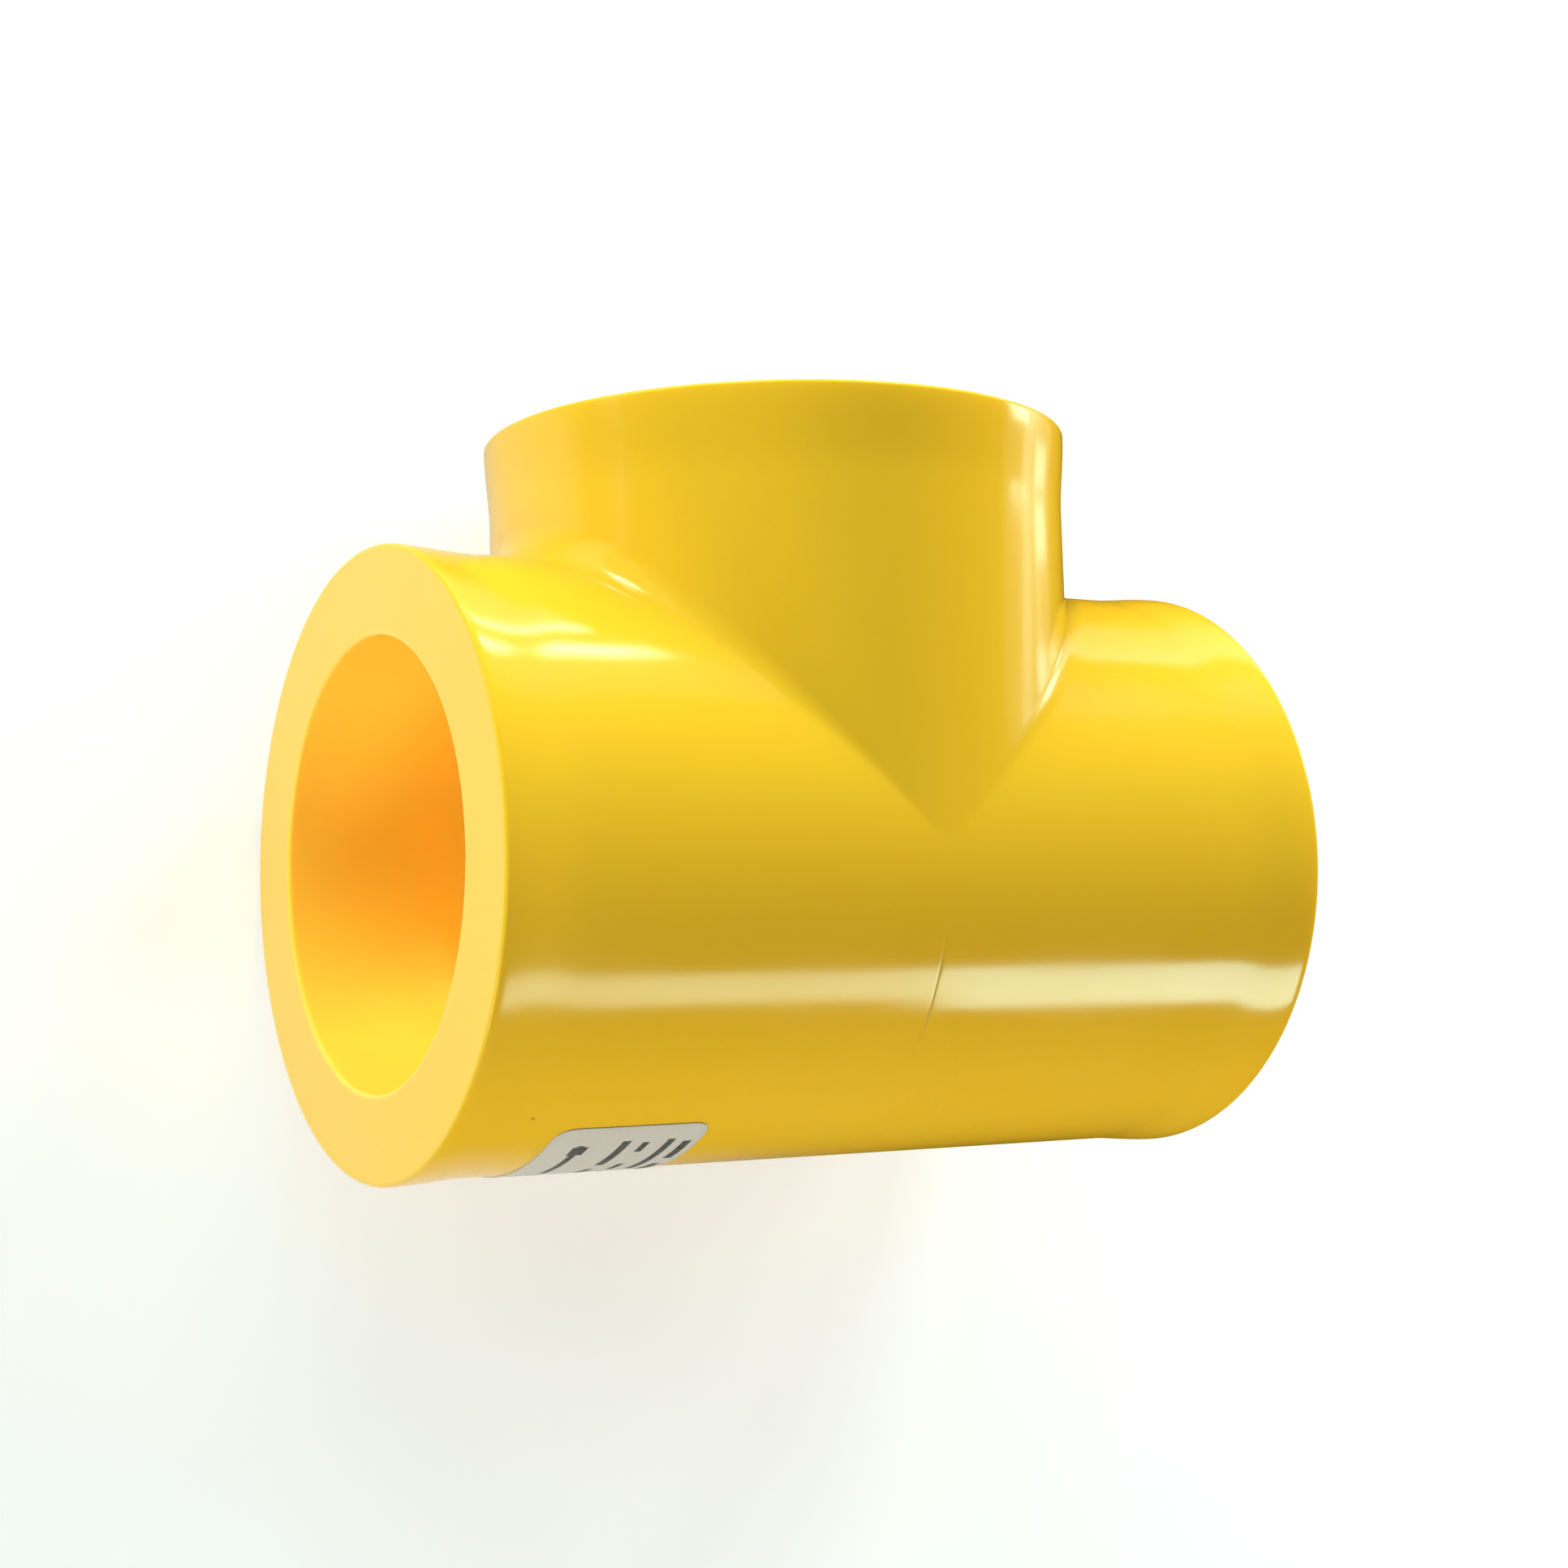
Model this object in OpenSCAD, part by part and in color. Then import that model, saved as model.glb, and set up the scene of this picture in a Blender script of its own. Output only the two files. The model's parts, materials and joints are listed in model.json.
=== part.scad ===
// Socket fusion tee: one moulded body with three equal sockets, and the paper label stuck to it.
// X is the run, +Y the branch, +Z up. The tee lies on its side, on the rims of its three hubs, and the
// origin is on that surface, under the middle of the tee. Lengths are in millimetres.

/* [Pipe] */
// Outside diameter of the pipe that is fused in
pipe_od = 48.26; // [44:0.01:52]
// Wall of that pipe, so the waterway is as wide as the pipe's own bore
pipe_wall = 4.39; // [3:0.01:6]
// How much smaller than the pipe the cold socket is, on the radius
fusion_bite = 0.43; // [0.2:0.01:0.8]

/* [Sockets] */
// Depth of each socket, from its face to the shoulder that stops the pipe
socket_depth = 22; // [18:0.5:26]
// From the crossing of the axes to the shoulder of each run socket
run_lay = 28.4; // [26:0.1:38]
// From the crossing of the axes to the shoulder of the branch socket
branch_lay = 26.2; // [26:0.1:38]
// Radius on the edge of each mouth
mouth_round = 0.4; // [0.2:0.05:1]

/* [Body] */
// Wall round each socket, where the hub is straight
hub_wall = 9; // [7:0.1:12]
// How much each hub's radius grows towards its rim
hub_flare = 0.5; // [0.1:0.05:1]
// Length of each hub over which it grows
flare_length = 9; // [6:0.5:16]
// Radius on the outer edge of each rim
rim_round = 0.5; // [0.2:0.05:1.5]
// Radius of the blend in the crotch between run and branch
crotch_round = 4; // [2.5:0.1:6]

/* [Label] */
// Length of the label along the run
label_length = 17.7; // [10:0.1:22]
// Width of the label round the run, measured straight across
label_width = 24.4; // [12:0.1:30]
// Radius of the label's corners
label_corner = 2; // [0.5:0.1:4]
// Thickness of the label's paper
label_thickness = 0.15; // [0.1:0.01:0.3]
// From where the left hub starts to flare to the label's near end
label_gap = 3.4; // [0.1:0.1:6]
// Turn of the label's middle round the run, from straight up towards the side away from the branch
label_turn = 79; // [60:1:110]

/* [Hidden] */
$fn = 96;
socket_r = pipe_od / 2 - fusion_bite;
waterway_r = pipe_od / 2 - pipe_wall;
outer_r = socket_r + hub_wall;
rim_r = outer_r + hub_flare;
// From the crossing of the axes to each face of the run, and to the face of the branch
run_reach = run_lay + socket_depth;
branch_reach = branch_lay + socket_depth;
// How far a cutting shape runs past the face that it opens
past = 1;
// The blend's strip: where it starts beside the tip of the crease, in degrees round the body,
// its steps along the crease and across it, how far its two long edges dip under the surfaces
// that it joins, and how deep its back is buried
blend_start = 14;
blend_steps = 60;
blend_sides = 6;
blend_dip = 0.05;
blend_back = 1.5;

// Each piece is modelled round the crossing of the axes of run and branch, then laid down to rest
module laid_down() translate([0, (rim_r - branch_reach) / 2, rim_r]) children();

// Outline of half a hub from its axis out, straight and then flared, with the rim's edge rounded
module hub_outline(reach) {
    edge_r = rim_r - rim_round;
    edge_at = reach - rim_round;
    polygon([[0, 0], [outer_r, 0], [outer_r, reach - flare_length], [rim_r, edge_at],
        [edge_r, edge_at], [edge_r, reach], [0, reach]]);
    translate([edge_r, edge_at]) circle(rim_round);
}

// Outline of what is hollow in half a hub: waterway, socket and the rounded edge of the mouth
module bore_outline(reach) {
    square([waterway_r, reach]);
    translate([0, reach - socket_depth]) square([socket_r, socket_depth + past]);
    difference() {
        translate([0, reach - mouth_round]) square([socket_r + mouth_round, mouth_round + past]);
        translate([socket_r + mouth_round, reach - mouth_round]) circle(mouth_round);
    }
}

// Turns an outline round the run, towards the left (-1) or the right (1), or round the branch
module round_run(side) rotate([0, side * 90, 0]) rotate_extrude() children();
module round_branch() rotate([-90, 0, 0]) rotate_extrude() children();

// The blend is the surface of a ball that rolls in the crotch, touching run and branch.
// t is the angle along the crease, from its tip on one side of the tee to its tip on the other,
// and s the share of the way across, from the run's surface to the branch's.
function ball_centre(t) = (outer_r + crotch_round) * [-sin(t), sin(t), cos(t)];
function run_normal(t) = [0, sin(t), cos(t)];
function branch_normal(t) = [-sin(t), 0, cos(t)];
function normal_between(t, s) =
    let(whole = acos(cos(t) * cos(t)))
    (sin((1 - s) * whole) * run_normal(t) + sin(s * whole) * branch_normal(t)) / sin(whole);
function blend_point(t, s) =
    let(dip = s == 0 || s == 1 ? blend_dip : 0)
    ball_centre(t) - (crotch_round + dip) * normal_between(t, s);

// One section of the blend: the arc across the crotch, then its back, buried in the body
function blend_section(t) = concat(
    [for (i = [0:blend_sides]) blend_point(t, i / blend_sides)],
    [blend_point(t, 1) - blend_back * branch_normal(t),
        (outer_r - blend_back) * [-sin(t), sin(t), cos(t)],
        blend_point(t, 0) - blend_back * run_normal(t)]);

module crotch_blend() {
    ring = blend_sides + 4;
    step = (180 - 2 * blend_start) / blend_steps;
    points = [for (i = [0:blend_steps]) each blend_section(blend_start + i * step)];
    sides = [for (i = [0:blend_steps - 1], j = [0:ring - 1])
        let(a = i * ring + j, b = i * ring + (j + 1) % ring)
        each [[a, b + ring, b], [a, a + ring, b + ring]]];
    first = [for (j = [0:ring - 1]) j];
    last = [for (j = [ring - 1:-1:0]) blend_steps * ring + j];
    polyhedron(points, concat(sides, [first, last]), convexity = 6);
}

module tee_body() color("gold") laid_down() difference() {
    union() {
        for (side = [-1, 1]) round_run(side) hub_outline(run_reach);
        round_branch() hub_outline(branch_reach);
        crotch_blend();
        mirror([1, 0, 0]) crotch_blend();
    }
    for (side = [-1, 1]) round_run(side) bore_outline(run_reach);
    round_branch() bore_outline(branch_reach);
}

// Outline of the label laid flat, with its middle at the origin
module label_outline() {
    along = label_length - 2 * label_corner;
    across = label_width - 2 * label_corner;
    square([along, label_width], center = true);
    square([label_length, across], center = true);
    for (x = [-1, 1], y = [-1, 1]) translate([x * along / 2, y * across / 2]) circle(label_corner);
}

// The label follows the straight part of the left hub, from beside its flare
module label() color("whitesmoke") laid_down() intersection() {
    straight = run_reach - flare_length;
    round_run(-1) translate([outer_r, 0]) square([label_thickness, straight]);
    translate([label_gap + label_length / 2 - straight, 0, 0])
        rotate([label_turn, 0, 0]) linear_extrude(rim_r + past) label_outline();
}

tee_body();
label();
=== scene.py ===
import json

import bmesh
import bpy
import numpy as np
from mathutils import Matrix, Vector

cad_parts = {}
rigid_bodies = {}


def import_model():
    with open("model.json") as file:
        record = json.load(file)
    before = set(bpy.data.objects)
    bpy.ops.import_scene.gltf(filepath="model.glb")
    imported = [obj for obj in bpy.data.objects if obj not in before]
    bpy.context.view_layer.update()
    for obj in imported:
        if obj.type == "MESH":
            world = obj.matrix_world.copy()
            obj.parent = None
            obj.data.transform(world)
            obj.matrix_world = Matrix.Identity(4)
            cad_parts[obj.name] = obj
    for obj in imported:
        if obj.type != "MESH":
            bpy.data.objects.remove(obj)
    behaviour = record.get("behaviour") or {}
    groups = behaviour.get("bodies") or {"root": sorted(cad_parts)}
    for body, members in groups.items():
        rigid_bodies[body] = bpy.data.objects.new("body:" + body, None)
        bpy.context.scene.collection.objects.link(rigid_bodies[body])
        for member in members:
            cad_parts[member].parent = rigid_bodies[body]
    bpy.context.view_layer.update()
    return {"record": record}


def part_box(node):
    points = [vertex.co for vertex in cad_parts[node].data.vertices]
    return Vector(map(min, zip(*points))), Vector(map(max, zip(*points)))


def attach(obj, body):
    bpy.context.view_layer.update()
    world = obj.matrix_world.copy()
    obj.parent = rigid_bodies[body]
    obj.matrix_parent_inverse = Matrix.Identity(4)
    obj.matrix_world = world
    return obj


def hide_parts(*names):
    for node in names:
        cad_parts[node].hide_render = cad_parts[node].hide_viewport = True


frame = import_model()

# Socket fusion tee, yellow polyethylene. It lies on its side with the branch towards +Y, and the camera
# looks down on it. Settings are in millimetres unless a note says otherwise.

mm = 0.001
weld = 1e-7    # metres within which points of a mesh become one
boxLow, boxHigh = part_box("tee_body")
labelLow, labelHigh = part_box("label")
mounts = {mount["name"]: mount for mount in frame["record"]["mounts"]}

rimRadius = (boxHigh[2] - boxLow[2]) / 2 / mm
crossing = np.array([0, boxLow[1] / mm + rimRadius, rimRadius])  # where the axes of run and branch cross
runReach = boxHigh[0] / mm
branchReach = boxHigh[1] / mm - crossing[1]
socketRadius = mounts["run_socket_left"]["dims"]["r_mm"]


def smooth(t):  # 0 to 1 with level ends: t times t times (3 minus 2 t)
    t = np.clip(t, 0, 1)
    return t * t * (3 - 2 * t)


def rise(value, start, end):  # 0 at start and 1 at end, smooth between; it falls where end is the smaller
    return smooth((value - start) / (end - start))


def mix(a, b, t):
    return a + (b - a) * t


# Mesh and node helpers

def addMesh(name, points, faces, sharpAngle=40):
    mesh = bpy.data.meshes.new(name)
    mesh.from_pydata((points * mm).tolist(), [], faces.tolist())
    piece = bpy.data.objects.new(name, mesh)
    bpy.context.scene.collection.objects.link(piece)
    work = bmesh.new()
    work.from_mesh(mesh)
    bmesh.ops.remove_doubles(work, verts=work.verts, dist=weld)
    bmesh.ops.dissolve_degenerate(work, edges=work.edges, dist=weld)
    bmesh.ops.recalc_face_normals(work, faces=work.faces)
    work.to_mesh(mesh)
    work.free()
    mesh.shade_smooth()
    mesh.set_sharp_from_angle(angle=np.radians(sharpAngle))
    return piece


def gridFaces(rows, columns, first=0):  # quads of a grid whose points are numbered row by row from first
    corner = first + np.arange(rows - 1)[:, None] * columns + np.arange(columns - 1)[None, :]
    return np.stack([corner, corner + 1, corner + columns + 1, corner + columns], -1).reshape(-1, 4)


def toLinear(hexColor):  # sRGB hex to linear RGBA
    srgb = np.array([int(hexColor[i:i + 2], 16) for i in (1, 3, 5)]) / 255
    linear = np.where(srgb <= 0.04045, srgb / 12.92, ((srgb + 0.055) / 1.055) ** 2.4)
    return (*linear.tolist(), 1.0)


def addNode(tree, kind, settings=None, links=None):
    # Settings are properties, or unlinked sockets by name or number. Links are sockets and what feeds them
    node = tree.nodes.new(kind)
    for key, value in (settings or {}).items():
        if isinstance(key, str) and hasattr(node, key):
            setattr(node, key, value)
        else:
            node.inputs[key].default_value = value
    for key, source in (links or {}).items():
        tree.links.new(source, node.inputs[key])
    return node


def newMaterial(name):
    material = bpy.data.materials.new(name)
    material.use_nodes = True
    tree = material.node_tree
    tree.nodes.clear()
    return material, tree


def ramp(tree, value, start, end, first, last, blend="LINEAR"):  # first up to start, and last from end on
    settings = {"interpolation_type": blend, "From Min": start, "From Max": end,
                "To Min": first, "To Max": last}
    return addNode(tree, "ShaderNodeMapRange", settings, {"Value": value}).outputs[0]


def mixColor(tree, share, first, last):  # each colour is a hex string or an output
    node = addNode(tree, "ShaderNodeMix", {"data_type": "RGBA"})
    for socket, value in ((0, share), (6, first), (7, last)):
        if isinstance(value, str):
            node.inputs[socket].default_value = toLinear(value)
        else:
            tree.links.new(value, node.inputs[socket])
    return node.outputs[2]


def noise(tree, place, size, detail):  # size is that of its largest lumps, in millimetres
    return addNode(tree, "ShaderNodeTexNoise", {"Scale": 1 / (size * mm), "Detail": detail},
                   {"Vector": place}).outputs[0]


def fromCrossing(tree, place):
    return addNode(tree, "ShaderNodeVectorMath", {"operation": "SUBTRACT", 1: (crossing * mm).tolist()},
                   {0: place}).outputs[0]


def calc(tree, operation, *values):  # a Math node; each value is a number or an output
    node = addNode(tree, "ShaderNodeMath", {"operation": operation})
    for i, value in enumerate(values):
        if isinstance(value, (int, float)):
            node.inputs[i].default_value = value
        else:
            tree.links.new(value, node.inputs[i])
    return node.outputs[0]


# The tee's body: one moulded shell, worked out as half hubs that meet along the creases

bodyShape = {
    "waterRadius": 19.74,
    "socketDepth": 22.0,
    "shoulderRound": 0.5,
    "mouthRound": 0.45,
    "rimRound": 0.5,
    "flare": 0.5,          # how much a hub grows towards its rim
    "flareLength": 9.0,
    "crotchRound": 4.0,    # radius of the ball that rolls in the crotch
    "markDepth": 0.03,     # the mould's fine mark round the middle of the run
    "markWidth": 0.16,
    "markFaint": 0.15,     # share of its depth outside the strong part
    "markStart": (15, 20),  # degrees from straight up over which the strong part begins, and ends
    "markEnd": (44, 37),
    "markStrip": 1.2,      # half the width of the rows that hold it
    "stripFade": 8,        # degrees over which those rows open, from the top and from the bottom
    "columns": 120,        # round half a hub
    "cornerSteps": 5,      # rows of points in each round and along each length
    "roundSteps": 7,
    "waterSteps": 9,
    "flareSteps": 12,
    "hubSteps": 25,
    "arcSteps": 11,
}
outerRadius = rimRadius - bodyShape["flare"]


def quarter(start, end, alongFirst, steps):
    # A quarter of an ellipse, which leaves start along the axis or square to it
    angle = np.linspace(0, np.pi / 2, steps)
    fast, slow = np.sin(angle), 1 - np.cos(angle)
    first, second = (fast, slow) if alongFirst else (slow, fast)
    return np.stack([mix(start[0], end[0], first), mix(start[1], end[1], second)], 1)


def straightLine(start, end, shares):
    shares = np.asarray(shares)[:, None]
    return np.array(start) * (1 - shares) + np.array(end) * shares


def socketProfile(reach):
    # Distance along the axis and radius, from the waterway's end out over shoulder, socket and mouth to the
    # rim. Rows close to each round keep the shading of the straight walls level
    s = bodyShape
    lay, soft = reach - s["socketDepth"], s["shoulderRound"]
    water, mouth, rim = s["waterRadius"], s["mouthRound"], s["rimRound"]
    corner, edge = s["cornerSteps"], s["roundSteps"]
    return np.concatenate([
        quarter((lay - soft, water), (lay, water + soft), True, corner),
        straightLine((lay, water + soft), (lay, socketRadius - soft), [0.01, 0.3, 0.7, 0.99]),
        quarter((lay, socketRadius - soft), (lay + soft, socketRadius), False, corner),
        straightLine((lay + soft, socketRadius), (reach - mouth, socketRadius),
                     [0.004, 0.25, 0.5, 0.75, 0.99]),
        quarter((reach - mouth, socketRadius), (reach, socketRadius + mouth), True, edge),
        straightLine((reach, socketRadius + mouth), (reach, rimRadius - rim),
                     [0.01, 0.25, 0.5, 0.75, 0.99]),
        quarter((reach, rimRadius - rim), (reach - rim, rimRadius), False, edge),
    ])


def hubRadius(along, reach):
    # The hub's outside: its plain radius, plus the flare times the smooth step over the flare's length
    s = bodyShape
    start = reach - s["flareLength"]
    return outerRadius + s["flare"] * smooth((along - start) / (s["flareLength"] - s["rimRound"]))


def hubPatch(reach, innerEnd, outerEnd):
    # Rows of (distance along the axis, radius) for each column of a hub: from the inner mitre along the
    # waterway, over the socket's profile, and back along the outside to outerEnd
    s = bodyShape
    profile = socketProfile(reach)
    waterRows = mix(innerEnd[None, :], profile[0, 0], np.linspace(0, 1, s["waterSteps"])[:-1, None])
    inner = np.stack([waterRows, np.full_like(waterRows, s["waterRadius"])], -1)
    shared = np.repeat(profile[:, None, :], len(innerEnd), 1)
    flareRows = np.linspace(reach - s["rimRound"], reach - s["flareLength"], s["flareSteps"])[1:]
    flared = np.repeat(np.stack([flareRows, hubRadius(flareRows, reach)], -1)[:, None, :], len(innerEnd), 1)
    back = mix(flareRows[-1], outerEnd[None, :], np.linspace(0, 1, s["hubSteps"])[1:, None])
    outer = np.stack([back, np.full_like(back, outerRadius)], -1)
    return np.concatenate([inner, shared, flared, outer])


def alongRun(patch, turn):  # points of the left half of the run, turn measured from +Z towards +Y
    along, radius = patch[..., 0], patch[..., 1]
    return np.stack([-along, radius * np.sin(turn), radius * np.cos(turn)], -1)


def alongBranch(patch, turn):  # points of the left half of the branch, turn measured from +Z towards -X
    along, radius = patch[..., 0], patch[..., 1]
    return np.stack([-radius * np.sin(turn), along, radius * np.cos(turn)], -1)


def crotchArc(turn, shares):
    # A ball rolls in the crotch: its centre keeps a ball's radius above both walls, and the surface is the
    # centre less that radius along the normal, which swings from the run's (0) to the branch's (1)
    ball = bodyShape["crotchRound"]
    sine, cosine, none = np.sin(turn), np.cos(turn), np.zeros_like(turn)
    centre = (outerRadius + ball) * np.stack([-sine, sine, cosine], -1)
    runNormal = np.stack([none, sine, cosine], -1)
    branchNormal = np.stack([-sine, none, cosine], -1)
    whole = np.maximum(np.arccos(np.clip(cosine ** 2, -1, 1)), 1e-6)[None, :, None]
    share = np.asarray(shares)[:, None, None]
    between = (np.sin((1 - share) * whole) * runNormal
               + np.sin(share * whole) * branchNormal) / np.sin(whole)
    between /= np.linalg.norm(between, axis=-1, keepdims=True)
    return centre[None] - ball * between


def buildBody():
    s = bodyShape
    turn = np.linspace(0, np.pi, s["columns"] + 1)
    sine = np.sin(turn)
    ballReach = (outerRadius + s["crotchRound"]) * sine  # where the ball touches each wall
    mitre = s["waterRadius"] * sine

    # Towards the branch, each hub's columns end in half of the crotch's arc
    half = np.linspace(0, 0.5, s["arcSteps"])[1:]
    runHub = alongRun(hubPatch(runReach, mitre, ballReach), turn)
    branchHub = alongBranch(hubPatch(branchReach, mitre, ballReach), turn)
    runUpper = np.concatenate([runHub, crotchArc(turn, half)])
    branch = np.concatenate([branchHub, crotchArc(turn, 1 - half)])

    # Away from the branch, the run's columns go on to its middle. The mark there is a groove of bell shape,
    # deepest on the upper front, where the two halves of the mould's core met
    degrees, faint = np.degrees(turn), s["markFaint"]
    fade = rise(degrees, 0, s["stripFade"]) * rise(degrees, 180, 180 - s["stripFade"])
    strength = fade * (faint + (1 - faint) * rise(degrees, *s["markStart"]) * rise(degrees, *s["markEnd"]))
    strip = s["markStrip"] * fade
    ends = mix(strip[None, :], 0, np.linspace(0, 1, s["arcSteps"])[1:, None] ** 0.6)
    depth = s["markDepth"] * strength * np.exp(-(ends / s["markWidth"]) ** 2)
    middle = np.stack([ends, outerRadius - depth], -1)
    runLower = alongRun(np.concatenate([hubPatch(runReach, np.zeros_like(turn), strip), middle]), -turn)

    points, faces, count = [], [], 0
    for patch in (runUpper, branch, runLower):
        for side in (1, -1):
            rows, columns = patch.shape[:2]
            points.append(patch.reshape(-1, 3) * [side, 1, 1])
            faces.append(gridFaces(rows, columns, count))
            count += rows * columns
    points = np.concatenate(points) + crossing
    return addMesh("moulded_tee", points, np.concatenate(faces), 50)


print("body: moulded shell")
body = buildBody()
print("   triangles:", sum(len(face.vertices) - 2 for face in body.data.polygons))


# The label: a thin sheet with rounded corners, rolled round the underside of the left hub

labelShape = {
    "length": (labelHigh[0] - labelLow[0]) / mm,
    "width": 24.4,    # straight across
    "corner": 2.0,
    "thickness": 0.15,
    "turn": 79.0,     # degrees from straight up, away from the branch
    "lift": 0.002,    # keeps its underside off the tee's own surface
    # its last rows: share of the way out, and share of the thickness
    "edge": ((0.995, 1.0), (1.0, 0.8), (1.0, 0.4), (1.0, 0.0)),
    "rings": 14,
    "around": 160,
}
labelMiddle = (labelLow[0] + labelHigh[0]) / 2 / mm


def labelOutline():
    # A rectangle walked at even angles; past a corner's centre the point is pulled onto the corner's circle
    s = labelShape
    angle = np.linspace(0, 2 * np.pi, s["around"], endpoint=False)
    halfLong, halfWide, corner = s["length"] / 2, s["width"] / 2, s["corner"]
    cosine, sine = np.cos(angle), np.sin(angle)
    reach = np.maximum(np.abs(cosine) / halfLong, np.abs(sine) / halfWide)
    x, y = cosine / reach, sine / reach
    overX, overY = np.abs(x) - (halfLong - corner), np.abs(y) - (halfWide - corner)
    atCorner = (overX > 0) & (overY > 0)
    pull = np.where(atCorner, corner / np.maximum(np.hypot(overX, overY), 1e-9), 1)
    x = np.where(atCorner, np.sign(x) * (halfLong - corner + overX * pull), x)
    y = np.where(atCorner, np.sign(y) * (halfWide - corner + overY * pull), y)
    return x, y


def buildLabel():
    # Each point keeps its distance across, and its angle round the run is the turn plus the arcsine of
    # that distance by the radius
    s = labelShape
    x, y = labelOutline()
    inner, edge = np.linspace(0, 1, s["rings"])[:-1], np.array(s["edge"])
    share = np.concatenate([inner, edge[:, 0]])[:, None]
    height = s["thickness"] * np.concatenate([np.ones_like(inner), edge[:, 1]])[:, None]
    angle = np.radians(-s["turn"]) + np.arcsin(share * y / outerRadius)
    foot = outerRadius + s["lift"]
    top = np.stack([share * x, (foot + height) * np.sin(angle), (foot + height) * np.cos(angle)], -1)
    under = np.stack([share * x, foot * np.sin(angle), foot * np.cos(angle)], -1)[::-1]
    points = np.concatenate([top, under])
    points = np.concatenate([points, points[:, :1]], 1)
    rows, columns = points.shape[:2]
    points = points.reshape(-1, 3) + crossing + [labelMiddle, 0, 0]
    return addMesh("paper_label", points, gridFaces(rows, columns))


print("label: paper")
label = buildLabel()


# Materials

resin = {
    "color": "#EAB323",
    "pale": "#ECB82C",      # where the pigment is a little thinner
    "bore": "#FFC642",      # painted light: a brighter, more orange tint inside sockets and waterways, for light that shines through the walls and bounces in the bore
    "boreEdge": (0.2, 0.6),  # how far past the socket's radius that tint fades, and is gone
    "fleck": "#9A7418",
    "fleckPlace": (-41.7, -26.2, 19.6),  # from the crossing
    "fleckRadius": (0.088, 0.33),        # dark within the first, and gone from the second on
    "fleckStrength": 0.8,
    # painted shade: the mark's dark tint stands in for the break that the mark makes in the long highlight;
    # the groove and its rougher finish are the real mark
    "mark": "#A37C14",
    "markTurn": (20, 37),   # degrees from straight up, away from the branch: the span of the long highlight, where the shade is painted
    "markHalf": (0.06, 0.17),    # how far from the middle it fades, and is gone
    "markStart": (-0.04, 0.02),  # radians past its first turn over which it comes
    "markEnd": (-0.1, 0.04),     # and past its last turn over which it goes
    "markTint": 0.55,
    "markRoughness": 0.35,
    "cloudShare": 0.8,      # of the tint; the rest is the grain's
    "cloudSize": 26.0,
    "grainSize": 0.5,
    "waveSize": 9.0,
    "waveHeight": 0.012,
    "grainHeight": 0.0006,
    "cloudRange": (0.35, 0.65),
    "roughness": (0.12, 0.17),
}


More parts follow.
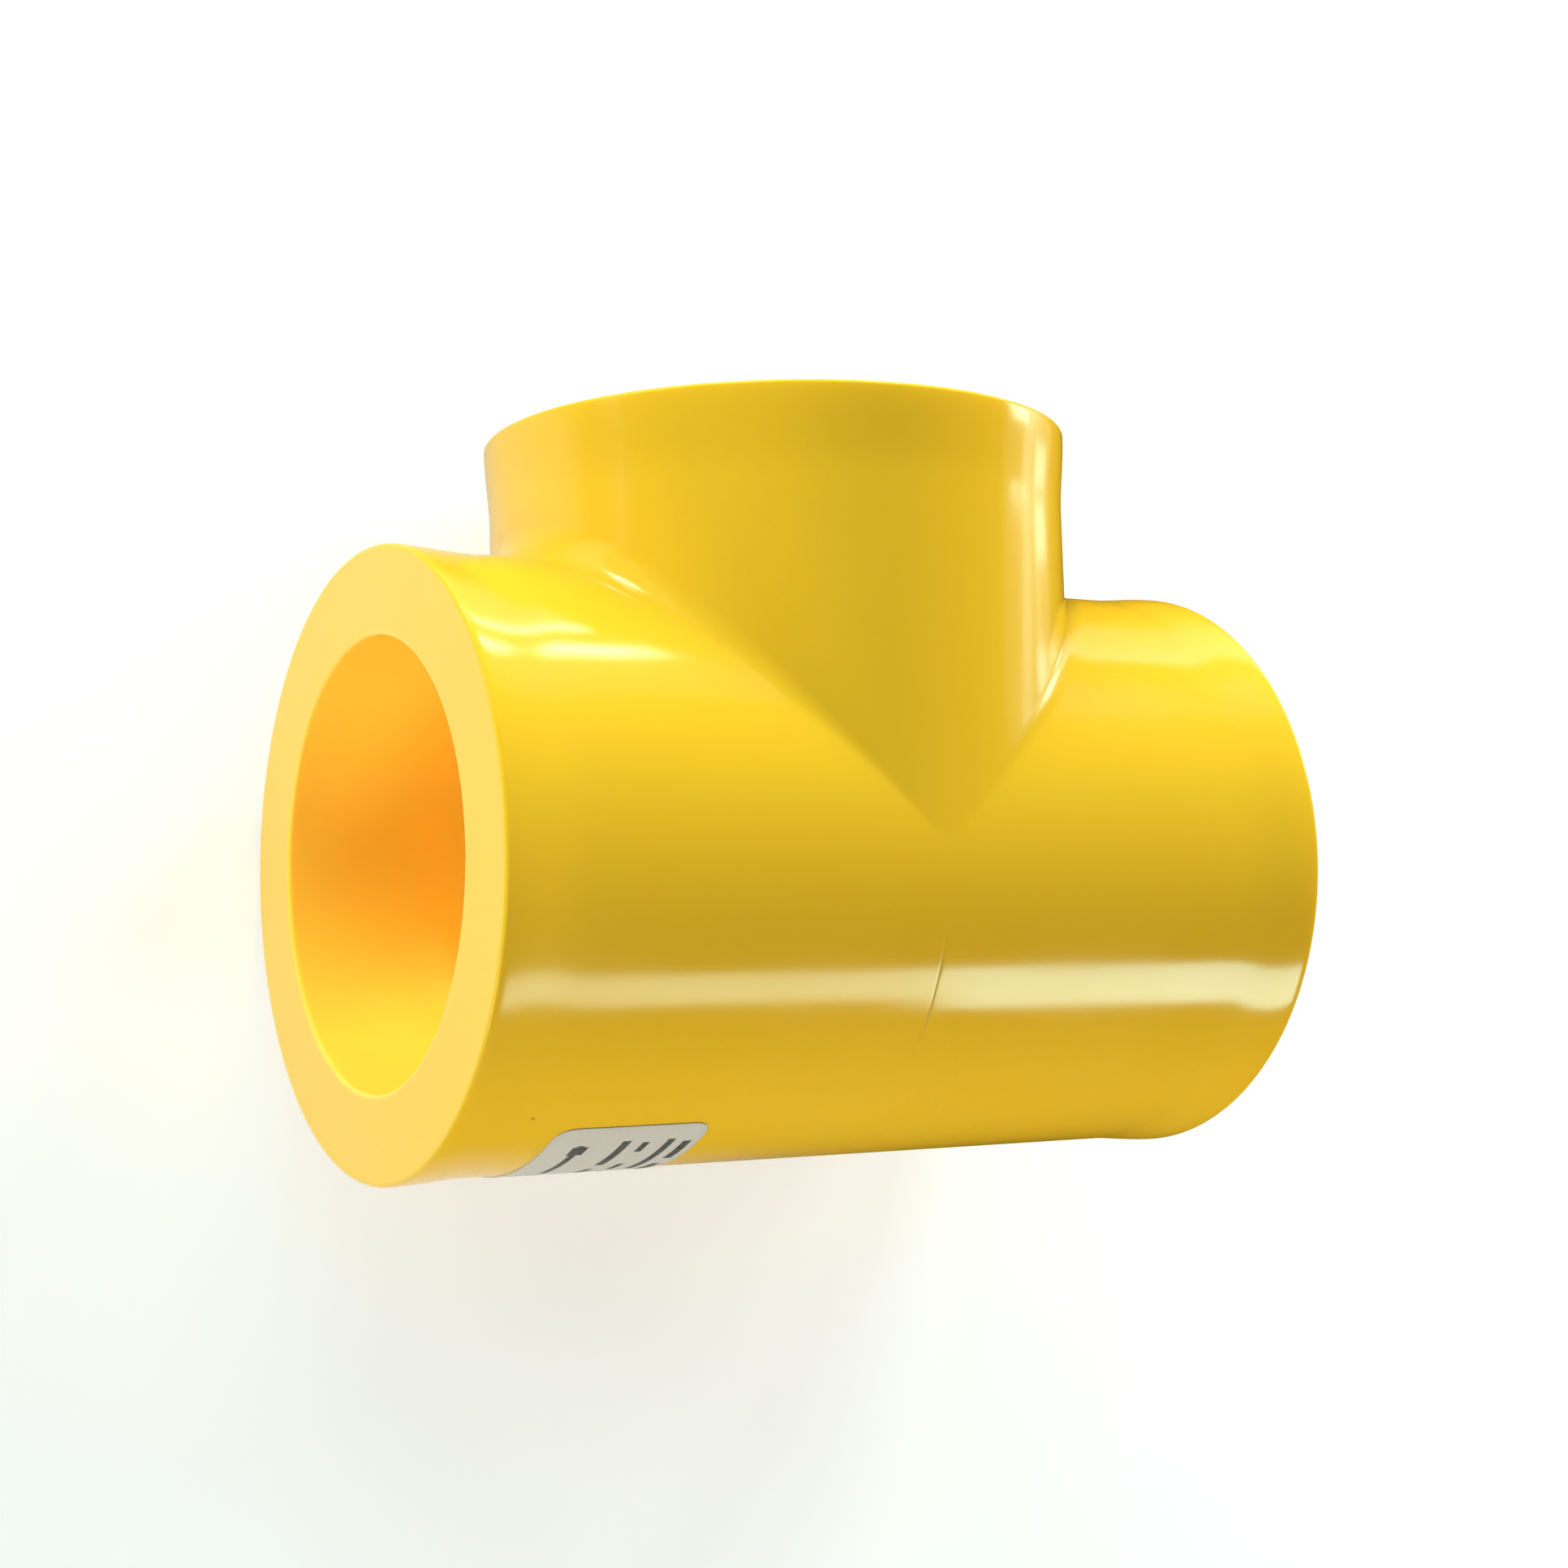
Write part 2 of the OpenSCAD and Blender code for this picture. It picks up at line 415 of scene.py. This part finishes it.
def makePolyethylene():
    # Medium-density polyethylene, injection moulded against polished steel. It gives a clear gloss with
    # slightly wavy highlights over a milky yellow, which turns orange where light bounces inside the bore.
    # There a brighter tint is painted in too, as painted light for what shines through the walls
    s = resin
    material, tree = newMaterial("yellow polyethylene, polished mould")
    place = addNode(tree, "ShaderNodeTexCoord").outputs["Object"]
    local = fromCrossing(tree, place)
    axes = addNode(tree, "ShaderNodeSeparateXYZ", links={0: local}).outputs
    cloud = noise(tree, place, s["cloudSize"], 3.0)
    grain = noise(tree, place, s["grainSize"], 1.0)
    wave = noise(tree, place, s["waveSize"], 1.0)

    def fromAxis(keep):  # the length of the place from the crossing without its share along the axis
        flat = addNode(tree, "ShaderNodeVectorMath", {"operation": "MULTIPLY", 1: keep}, {0: local})
        return addNode(tree, "ShaderNodeVectorMath", {"operation": "LENGTH"},
                       {0: flat.outputs[0]}).outputs["Value"]

    # Two tints of the resin, by the cloud and a little by the grain
    share = calc(tree, "ADD", calc(tree, "MULTIPLY", cloud, s["cloudShare"]),
                 calc(tree, "MULTIPLY", grain, 1 - s["cloudShare"]))
    color = mixColor(tree, share, s["color"], s["pale"])

    # Inside a socket or waterway, a point is nearer to the run's or the branch's axis than the wall is
    edge = [(socketRadius + v) * mm for v in s["boreEdge"]]
    inBranch = calc(tree, "MULTIPLY", ramp(tree, fromAxis((1, 0, 1)), *edge, 1.0, 0.0),
                    calc(tree, "GREATER_THAN", axes[1], 0.0))
    inside = calc(tree, "MAXIMUM", ramp(tree, fromAxis((0, 1, 1)), *edge, 1.0, 0.0), inBranch)
    # Painted light: there the brighter bore tint stands in for light that shines through the walls
    color = mixColor(tree, inside, color, s["bore"])

    # The mould's mark, rougher, and darkened by painted shade where it crosses the long highlight: within
    # its width of the middle, and between its two ends round the run
    angle = calc(tree, "ARCTAN2", calc(tree, "MULTIPLY", axes[1], -1.0), axes[2])
    first, last = (float(np.radians(v)) for v in s["markTurn"])
    near = ramp(tree, calc(tree, "ABSOLUTE", axes[0]), *(v * mm for v in s["markHalf"]), 1.0, 0.0)
    between = calc(tree, "MULTIPLY", ramp(tree, angle, *(first + v for v in s["markStart"]), 0.0, 1.0),
                   ramp(tree, angle, *(last + v for v in s["markEnd"]), 1.0, 0.0))
    mark = calc(tree, "MULTIPLY", near, between)
    # painted shade: the dark tint along the mark
    color = mixColor(tree, calc(tree, "MULTIPLY", mark, s["markTint"]), color, s["mark"])

    away = addNode(tree, "ShaderNodeVectorMath",
                   {"operation": "DISTANCE", 1: [v * mm for v in s["fleckPlace"]]}, {0: local})
    fleck = ramp(tree, away.outputs["Value"], *(v * mm for v in s["fleckRadius"]),
                 s["fleckStrength"], 0.0)
    color = mixColor(tree, fleck, color, s["fleck"])

    rough = calc(tree, "ADD", ramp(tree, cloud, *s["cloudRange"], *s["roughness"]),
                 calc(tree, "MULTIPLY", mark, s["markRoughness"]))
    waves = addNode(tree, "ShaderNodeBump", {"Distance": s["waveHeight"] * mm}, {"Height": wave})
    bump = addNode(tree, "ShaderNodeBump", {"Distance": s["grainHeight"] * mm},
                   {"Height": grain, "Normal": waves.outputs[0]})
    shader = addNode(tree, "ShaderNodeBsdfPrincipled", {
        "IOR": 1.52,
        "Subsurface Weight": 0.15,
        "Subsurface Radius": (0.004, 0.0025, 0.0006),
        "Subsurface Scale": 0.6,
    }, {"Base Color": color, "Roughness": rough, "Normal": bump.outputs[0]})
    addNode(tree, "ShaderNodeOutputMaterial", links={"Surface": shader.outputs[0]})
    return material


paper = {
    "color": "#CCC1B4",
    "shade": "#C2B7A8",
    "ink": "#3A3832",
    "inkStrength": (1.15, 0.5),  # of the ink, and how much of it the fibres take away
    "fibreSize": 0.35,
    "fibreHeight": 0.008,
    # Printed bars: place along the run from the crossing, width, and start and end down from the upper edge
    "bars": [(-34.0, 0.8, 3.6, 13.6), (-33.9, 1.8, 3.9, 6.0), (-34.0, 0.8, 15.0, 21.0),
             (-29.0, 1.0, 3.0, 10.3), (-29.0, 1.0, 12.4, 19.0), (-26.6, 0.8, 3.5, 6.0),
             (-26.3, 0.8, 10.3, 13.4), (-26.3, 0.8, 15.0, 20.5), (-23.8, 0.9, 3.0, 13.8),
             (-23.8, 0.9, 16.2, 22.0), (-21.7, 1.0, 3.7, 8.9), (-21.7, 1.0, 11.2, 18.0)],
}


def makePaper():
    # Coated label paper: warm white with a faint sheen and fibres, printed with plain dark bars
    s = paper
    material, tree = newMaterial("coated label paper, printed")
    place = addNode(tree, "ShaderNodeTexCoord").outputs["Object"]
    axes = addNode(tree, "ShaderNodeSeparateXYZ", links={0: fromCrossing(tree, place)}).outputs
    along = calc(tree, "DIVIDE", axes[0], mm)

    # How far a point is down from the label's upper edge: the angle past that edge times the radius
    upperEdge = np.radians(labelShape["turn"]) - np.arcsin(labelShape["width"] / 2 / outerRadius)
    angle = calc(tree, "ARCTAN2", calc(tree, "MULTIPLY", axes[1], -1.0), axes[2])
    down = calc(tree, "MULTIPLY", calc(tree, "SUBTRACT", angle, float(upperEdge)), float(outerRadius))
    ink = 0.0
    for middle, width, start, end in s["bars"]:
        across = calc(tree, "COMPARE", along, middle, width / 2)
        length = calc(tree, "COMPARE", down, (start + end) / 2, (end - start) / 2)
        ink = calc(tree, "MAXIMUM", ink, calc(tree, "MULTIPLY", across, length))

    fibre = noise(tree, place, s["fibreSize"], 3.0)
    full, lost = s["inkStrength"]
    worn = calc(tree, "MULTIPLY", ink, calc(tree, "SUBTRACT", full, calc(tree, "MULTIPLY", fibre, lost)))
    color = mixColor(tree, worn, mixColor(tree, fibre, s["color"], s["shade"]), s["ink"])
    bump = addNode(tree, "ShaderNodeBump", {"Distance": s["fibreHeight"] * mm}, {"Height": fibre})
    shader = addNode(tree, "ShaderNodeBsdfPrincipled", {"Roughness": 0.45, "IOR": 1.5},
                     {"Base Color": color, "Normal": bump.outputs[0]})
    addNode(tree, "ShaderNodeOutputMaterial", links={"Surface": shader.outputs[0]})
    return material


print("materials")
body.data.materials.append(makePolyethylene())
label.data.materials.append(makePaper())

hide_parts("tee_body")
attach(body, "root")
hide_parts("label")
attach(label, "root")


# Studio. Places are measured from the crossing of the axes, and glow is how bright a lamp itself looks, 1
# being white. The lights are large and stay out of the gloss, and the gloss alone mirrors the highlights.

studio = {
    "floorSize": 6000.0,
    "floorColor": "#D0D0CE",
    "floorGlow": 0.42,     # near the tee, where the lamps reach
    "farGlow": 0.97,
    "reach": (800.0, 1500.0),  # how far from the middle the one gives way to the other
    "world": 0.03,
    "horizon": 0.97,       # what the camera and the gloss see of the world
    "cloth": {
        "color": "#0B0B0C",
        "radius": 2400.0,
        "lift": 0.2,               # off the floor
        "hole": (-75, -10),
        "holeRadius": (40, 120),   # no cloth within the first, and whole cloth from the second on
        "behind": (100, 160),      # along Y, where the cloth on the floor thins
        "thinned": 0.5,
        "rows": 13,
        "columns": 49,
    },
    # Name: place, what it faces, size along and across, glow, direction of its long side, colour, and for
    # some the width of the beam in degrees, which keeps them off the branch's crest
    "lights": {
        "top box": ((-302, 1122, 314), (0, 0, 0), (900, 500), 8.5, (1, 0, 0), "#ECFFF8"),
        "top left box": ((-914, 756, 183), (0, 0, 0), (500, 300), 17.5, (0, 1, 0), "#E8FFF6"),
        "top right box": ((606, 970, 364), (0, 0, 0), (500, 300), 24.5, (1, 0, 0), "#ECFFF8"),
        "left up box": ((-957, -299, 658), (0, 0, 0), (500, 300), 11.8, (0, 1, 0), "#ECFFF8"),
        "front left box": ((-482, -1085, 169), (0, 0, 0), (500, 300), 12.1, (1, 0, 0), "#F6FFFC"),
        "front box": ((98, -1160, 305), (0, 0, 0), (500, 300), 6.3, (1, 0, 0), "#FFFFFF"),
        "right box": ((1051, 525, 239), (0, 0, 0), (500, 300), 22.9, (0, 1, 0), "#F4FFFC"),
        "right low box": ((1061, -506, 241), (0, 0, 0), (500, 300), 14.7, (0, 1, 0), "#FFFFFF"),
    },
    "highlights": {
        "left sheen": ((-1031, -599, 144), (0, 0, 0), (500, 300), 3.4, (0, 1, 0), "#FFFFFF"),
        "band left": ((158, -260, 234), (158, -14, 30), (127, 71), 5.8, (1, 0, 0), "#DCFFE6"),
        "band right": ((286, -268, 224), (286, -14, 29), (128, 104), 8.4, (1, 0, 0), "#D2FFF0"),
        "twin low": ((72, 250, 12), (-42, 21, 25), (53, 15), 7.0, (1, 0, 0), "#D2FFF0"),
        "twin high": ((66, 250, 60), (-42, 21, 25), (43, 24), 15.0, (1, 0, 0), "#D2FFF0", 22),
        "twin high side": ((92, 250, 60), (-42, 21, 25), (11, 22), 7.0, (1, 0, 0), "#D2FFF0", 22),
        "top haze": ((180, 250, -12), (20, 20, 22), (300, 42), 0.3, (1, 0, 0), "#FFFFFF"),
        "crotch window": ((-46, 250, 24), (-27, 24, 22), (44, 46), 15.0, (1, 0, 0), "#D2FFF0", 30),
        "branch glow": ((160, 56, 38), (13, 34, 30), (95, 95), 0.5, (0, -0.91, 0.42), "#D2FFF0"),
        "branch ridge": ((160, 55, 43), (13, 34, 30), (90, 18), 1.6, (0, -0.91, 0.42), "#D2FFF0"),
        "branch short ridge": ((160, 62, 8), (13, 34, 30), (10, 26), 2.6, (0, 1, 0), "#D2FFF0"),
        "branch spot": ((160, 38, 16), (13, 30, 28), (8, 22), 3.0, (0, 1, 0), "#D2FFF0"),
        "crescent": ((292, 122, 74), (16, 17, 29), (50, 60), 7.0, (0, 1, 0), "#D2FFF0"),
    },
}


def seenDirectly(tree):  # 1 for what the camera sees, also by gloss or through something clear
    path = addNode(tree, "ShaderNodeLightPath").outputs
    return calc(tree, "MAXIMUM", calc(tree, "MAXIMUM", path["Is Camera Ray"], path["Is Glossy Ray"]),
                path["Is Transmission Ray"])


def buildFloor():
    s = studio
    half = s["floorSize"] / 2
    corners = np.array([[-half, -half, 0], [half, -half, 0], [half, half, 0], [-half, half, 0]], float)
    floor = addMesh("floor", corners, np.array([[0, 1, 2, 3]]))
    material, tree = newMaterial("white studio floor")
    place = addNode(tree, "ShaderNodeTexCoord").outputs["Object"]
    away = addNode(tree, "ShaderNodeVectorMath", {"operation": "LENGTH"}, {0: place}).outputs["Value"]
    glow = ramp(tree, away, *(v * mm for v in s["reach"]), s["floorGlow"], s["farGlow"])
    shader = addNode(tree, "ShaderNodeBsdfPrincipled", {
        "Base Color": toLinear(s["floorColor"]),
        "Roughness": 0.9,
        "Specular IOR Level": 0.0,
        "Emission Color": (1.0, 1.0, 1.0, 1.0),
    }, {"Emission Strength": calc(tree, "MULTIPLY", seenDirectly(tree), glow)})
    addNode(tree, "ShaderNodeOutputMaterial", links={"Surface": shader.outputs[0]})
    floor.data.materials.append(material)


def buildCloth():
    # A dark tent that only the gloss sees: a disc on the floor and half a sphere over it, both turned round
    # the middle. The tee in the photograph mirrors a pale patch before its near face, a faint haze behind
    # the branch, and nearly nothing round them, so the cloth has a soft hole and is thin behind the branch
    s = studio["cloth"]
    climb = np.linspace(0, np.pi / 2, s["rows"])
    reach = np.concatenate([[0, s["radius"] / 2], s["radius"] * np.cos(climb)])
    height = s["lift"] + np.concatenate([[0, 0], s["radius"] * np.sin(climb)])
    turn = np.linspace(0, 2 * np.pi, s["columns"])
    points = np.stack([reach[:, None] * np.cos(turn), reach[:, None] * np.sin(turn),
                       height[:, None] * np.ones_like(turn)], -1)
    cloth = addMesh("dark cloth", points.reshape(-1, 3), gridFaces(len(reach), len(turn)), 60)

    material, tree = newMaterial("dark studio cloth")
    place = addNode(tree, "ShaderNodeTexCoord").outputs["Object"]
    axes = addNode(tree, "ShaderNodeSeparateXYZ", links={0: place}).outputs
    hole = [(s["hole"][i] + float(crossing[i])) * mm for i in (0, 1)] + [s["lift"] * mm]
    away = addNode(tree, "ShaderNodeVectorMath", {"operation": "DISTANCE", 1: hole}, {0: place})
    cover = ramp(tree, away.outputs["Value"], *(v * mm for v in s["holeRadius"]), 0.0, 1.0, "SMOOTHSTEP")
    behind = ramp(tree, axes[1], *((v + float(crossing[1])) * mm for v in s["behind"]), 0.0, 1.0)
    thin = calc(tree, "MULTIPLY", behind, calc(tree, "LESS_THAN", axes[2], mm))
    left = calc(tree, "SUBTRACT", 1.0, calc(tree, "MULTIPLY", thin, s["thinned"]))
    shader = addNode(tree, "ShaderNodeBsdfPrincipled", {
        "Base Color": toLinear(s["color"]),
        "Roughness": 1.0,
        "Specular IOR Level": 0.0,
    }, {"Alpha": calc(tree, "MULTIPLY", cover, left)})
    addNode(tree, "ShaderNodeOutputMaterial", links={"Surface": shader.outputs[0]})
    cloth.data.materials.append(material)
    cloth.visible_camera = cloth.visible_diffuse = cloth.visible_shadow = False
    cloth.visible_transmission = cloth.visible_volume_scatter = False


def softBox(name, highlight, place, target, size, glow, longSide, color, beam=180):
    place, target = Vector(place), Vector(target)
    away = (place - target).normalized()
    across = (Vector(longSide) - away * Vector(longSide).dot(away)).normalized()
    lamp = bpy.data.lights.new(name, "AREA")
    lamp.shape = "RECTANGLE"
    lamp.size, lamp.size_y = size[0] * mm, size[1] * mm
    lamp.energy = glow * np.pi * lamp.size * lamp.size_y
    if beam < 180:
        # Its axis is brighter by the tangent of half the beam over that tangent less the half: taken out
        half = np.radians(beam / 2)
        lamp.spread = 2 * half
        lamp.energy *= (np.tan(half) - half) / np.tan(half)
    lamp.color = toLinear(color)[:3]
    holder = bpy.data.objects.new(name, lamp)
    turned = Matrix((across, away.cross(across), away)).transposed().to_4x4()
    holder.matrix_world = Matrix.Translation((place + Vector(crossing)) * mm) @ turned
    holder.visible_camera = False
    holder.visible_diffuse, holder.visible_glossy = not highlight, highlight
    bpy.context.scene.collection.objects.link(holder)


def buildLights():
    world = bpy.data.worlds.new("pale studio")
    world.use_nodes = True
    tree = world.node_tree
    tree.nodes.clear()
    shown = calc(tree, "MULTIPLY", seenDirectly(tree), studio["horizon"])
    back = addNode(tree, "ShaderNodeBackground", {"Color": toLinear("#FFFFFF")},
                   {"Strength": calc(tree, "MAXIMUM", shown, studio["world"])})
    addNode(tree, "ShaderNodeOutputWorld", links={"Surface": back.outputs[0]})
    bpy.context.scene.world = world
    for name, settings in studio["lights"].items():
        softBox(name, False, *settings)
    for name, settings in studio["highlights"].items():
        softBox(name, True, *settings)


print("studio")
buildFloor()
buildCloth()
buildLights()


# Camera: fitted to the edges of the three hubs in the photograph. Its place is from the frame's own origin

cameraView = {
    "place": (-151.45, -24.32, 281.54),
    "forward": (0.5189, 0.0899, -0.8501),
    "up": (-0.0217, 0.9955, 0.0921),
    "lens": 58.81,
    "sensor": 36,
    "clip": (10, 20000),
}


def buildCamera():
    s = cameraView
    forward = Vector(s["forward"]).normalized()
    right = forward.cross(Vector(s["up"])).normalized()
    data = bpy.data.cameras.new("camera")
    data.lens = s["lens"]
    data.sensor_width = s["sensor"]
    data.clip_start, data.clip_end = (v * mm for v in s["clip"])
    camera = bpy.data.objects.new("camera", data)
    turned = Matrix((right, right.cross(forward), -forward)).transposed().to_4x4()
    camera.matrix_world = Matrix.Translation(Vector(s["place"]) * mm) @ turned
    bpy.context.scene.collection.objects.link(camera)
    bpy.context.scene.camera = camera


print("camera")
buildCamera()
bpy.context.scene.view_settings.view_transform = "Standard"

print("done")
